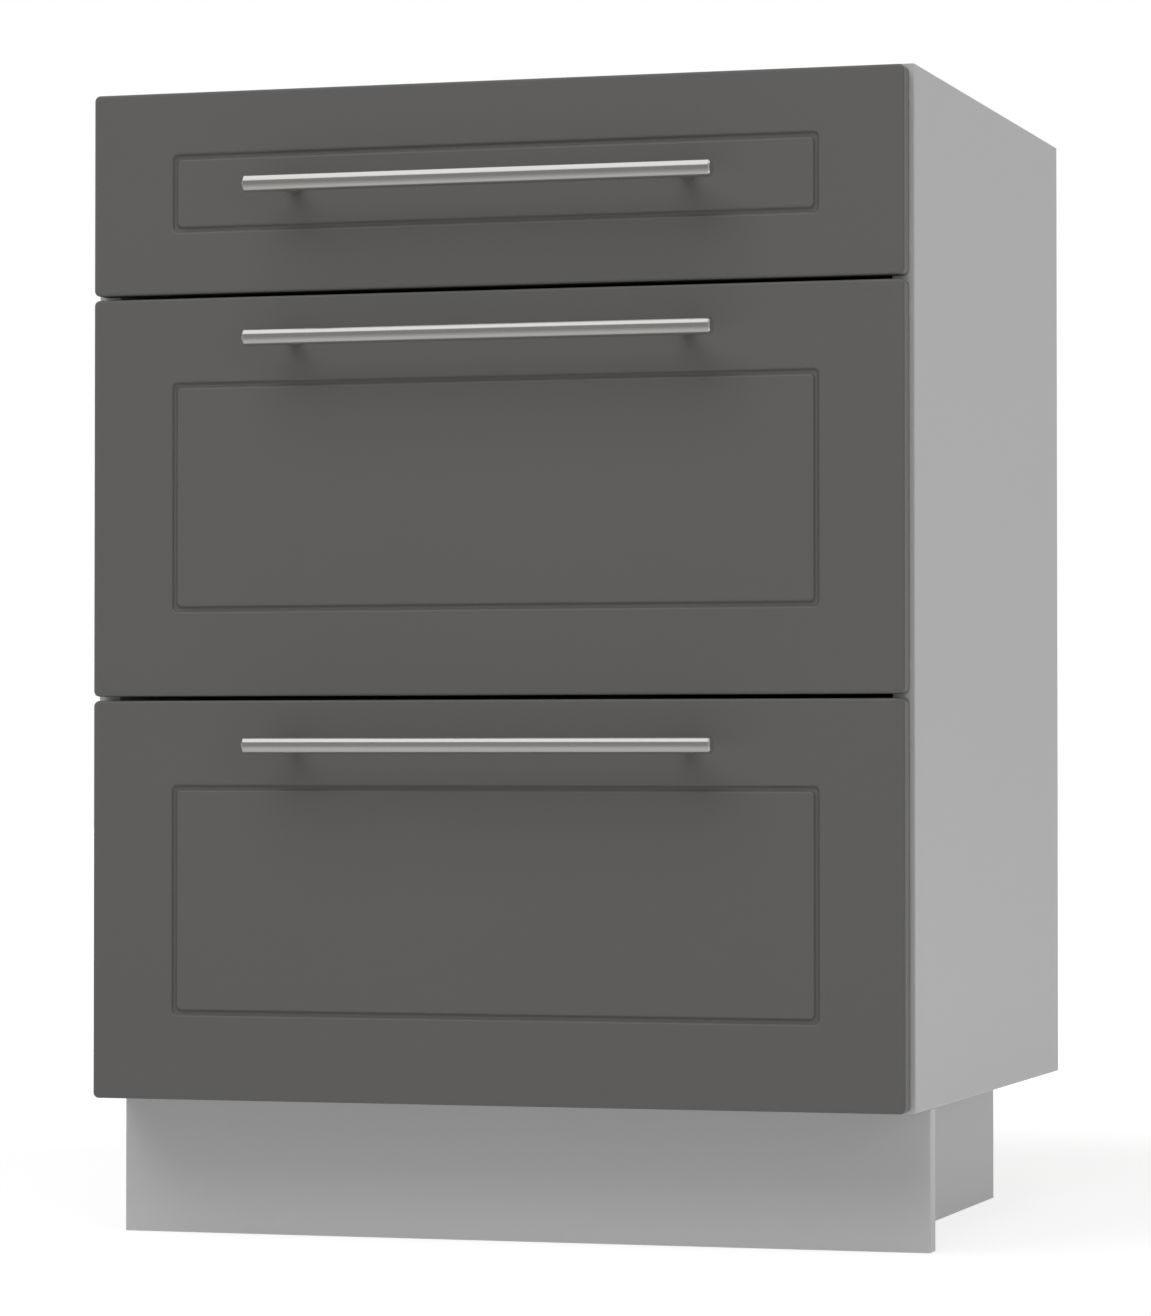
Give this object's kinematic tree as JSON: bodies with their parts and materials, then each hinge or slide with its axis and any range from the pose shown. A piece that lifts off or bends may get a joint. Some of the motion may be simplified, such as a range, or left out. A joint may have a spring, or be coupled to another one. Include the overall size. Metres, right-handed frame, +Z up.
{
  "type": "base cabinet with drawers",
  "caption": "Kitchen base cabinet with one low drawer over deep drawers, routed dark grey fronts, bar handles, a light grey board carcass and a recessed board plinth.",
  "frame": {"origin": "on the floor, under the middle of the whole cabinet's box, handles included", "axes": "+X to the right and -Y to the front as seen by someone facing the drawers, +Z up"},
  "size_m": [0.6, 0.559, 0.82],
  "materials": {
    "carcass_board": "light grey melamine-faced chipboard, satin",
    "back_board": "thin white-faced fibreboard",
    "plinth_board": "light grey melamine-faced chipboard, satin",
    "drawer_board": "light grey melamine-faced chipboard, satin",
    "front_lacquer": "dark warm grey matt lacquer on moulded fibreboard",
    "handle_steel": "stainless steel, brushed along its length",
    "coated_steel": "light grey epoxy coating on sheet steel",
    "zinc_plated_steel": "bright zinc plating",
    "nylon": "natural white nylon",
    "moulded_plastic": "light grey moulded plastic",
    "dowel_wood": "plain beech"
  },
  "bodies": {
    "carcass": {"side_panel_left": "carcass_board", "side_panel_right": "carcass_board", "bottom_panel": "carcass_board", "top_rail_front": "carcass_board", "top_rail_rear": "carcass_board", "back_panel": "back_board", "plinth_front": "plinth_board", "plinth_side_left": "plinth_board", "plinth_side_right": "plinth_board", "plinth_rear": "plinth_board", "plinth_blocks": "moulded_plastic", "carcass_dowels": "dowel_wood", "cam_fittings": "zinc_plated_steel", "carcass_screws": "zinc_plated_steel", "front_roller_axles": "zinc_plated_steel", "front_bumpers": "moulded_plastic", "top_runner_left": "coated_steel", "top_runner_right": "coated_steel", "middle_runner_left": "coated_steel", "middle_runner_right": "coated_steel", "bottom_runner_left": "coated_steel", "bottom_runner_right": "coated_steel"},
    "top_drawer": {"top_drawer_front": "front_lacquer", "top_handle_bar": "handle_steel", "top_handle_posts": "handle_steel", "top_handle_screws": "zinc_plated_steel", "top_drawer_side_left": "coated_steel", "top_drawer_side_right": "coated_steel", "top_drawer_bottom": "drawer_board", "top_drawer_back": "drawer_board", "top_front_brackets": "zinc_plated_steel", "top_drawer_fasteners": "zinc_plated_steel"},
    "top_front_rollers": {"top_front_rollers": "nylon"},
    "top_rear_rollers": {"top_rear_rollers": "nylon"},
    "middle_drawer": {"middle_drawer_front": "front_lacquer", "middle_handle_bar": "handle_steel", "middle_handle_posts": "handle_steel", "middle_handle_screws": "zinc_plated_steel", "middle_drawer_side_left": "coated_steel", "middle_drawer_side_right": "coated_steel", "middle_drawer_bottom": "drawer_board", "middle_drawer_back": "drawer_board", "middle_front_brackets": "zinc_plated_steel", "middle_drawer_fasteners": "zinc_plated_steel", "middle_gallery_rails": "coated_steel"},
    "middle_front_rollers": {"middle_front_rollers": "nylon"},
    "middle_rear_rollers": {"middle_rear_rollers": "nylon"},
    "bottom_drawer": {"bottom_drawer_front": "front_lacquer", "bottom_handle_bar": "handle_steel", "bottom_handle_posts": "handle_steel", "bottom_handle_screws": "zinc_plated_steel", "bottom_drawer_side_left": "coated_steel", "bottom_drawer_side_right": "coated_steel", "bottom_drawer_bottom": "drawer_board", "bottom_drawer_back": "drawer_board", "bottom_front_brackets": "zinc_plated_steel", "bottom_drawer_fasteners": "zinc_plated_steel", "bottom_gallery_rails": "coated_steel"},
    "bottom_front_rollers": {"bottom_front_rollers": "nylon"},
    "bottom_rear_rollers": {"bottom_rear_rollers": "nylon"}
  },
  "joints": [
    {"name": "top_drawer_slide", "type": "slide", "parent": "carcass", "child": "top_drawer", "axis": [0, -1, 0], "range_m": [0, 0.35]},
    {"name": "top_front_rollers_turn", "type": "hinge", "parent": "carcass", "child": "top_front_rollers", "pos_m": [0, -0.2025, 0.7113], "axis": [1, 0, 0], "continuous": true},
    {"name": "top_rear_rollers_turn", "type": "hinge", "parent": "top_drawer", "child": "top_rear_rollers", "pos_m": [0, 0.2125, 0.7113], "axis": [1, 0, 0], "continuous": true},
    {"name": "middle_drawer_slide", "type": "slide", "parent": "carcass", "child": "middle_drawer", "axis": [0, -1, 0], "range_m": [0, 0.35]},
    {"name": "middle_front_rollers_turn", "type": "hinge", "parent": "carcass", "child": "middle_front_rollers", "pos_m": [0, -0.2025, 0.4248], "axis": [1, 0, 0], "continuous": true},
    {"name": "middle_rear_rollers_turn", "type": "hinge", "parent": "middle_drawer", "child": "middle_rear_rollers", "pos_m": [0, 0.2125, 0.4248], "axis": [1, 0, 0], "continuous": true},
    {"name": "bottom_drawer_slide", "type": "slide", "parent": "carcass", "child": "bottom_drawer", "axis": [0, -1, 0], "range_m": [0, 0.35]},
    {"name": "bottom_front_rollers_turn", "type": "hinge", "parent": "carcass", "child": "bottom_front_rollers", "pos_m": [0, -0.2025, 0.1383], "axis": [1, 0, 0], "continuous": true},
    {"name": "bottom_rear_rollers_turn", "type": "hinge", "parent": "bottom_drawer", "child": "bottom_rear_rollers", "pos_m": [0, 0.2125, 0.1383], "axis": [1, 0, 0], "continuous": true}
  ],
  "couplings": [
    {"joint": "top_front_rollers_turn", "follows": "top_drawer_slide", "rad_per_m": 100},
    {"joint": "top_rear_rollers_turn", "follows": "top_drawer_slide", "rad_per_m": 100},
    {"joint": "middle_front_rollers_turn", "follows": "middle_drawer_slide", "rad_per_m": 100},
    {"joint": "middle_rear_rollers_turn", "follows": "middle_drawer_slide", "rad_per_m": 100},
    {"joint": "bottom_front_rollers_turn", "follows": "bottom_drawer_slide", "rad_per_m": 100},
    {"joint": "bottom_rear_rollers_turn", "follows": "bottom_drawer_slide", "rad_per_m": 100}
  ]
}
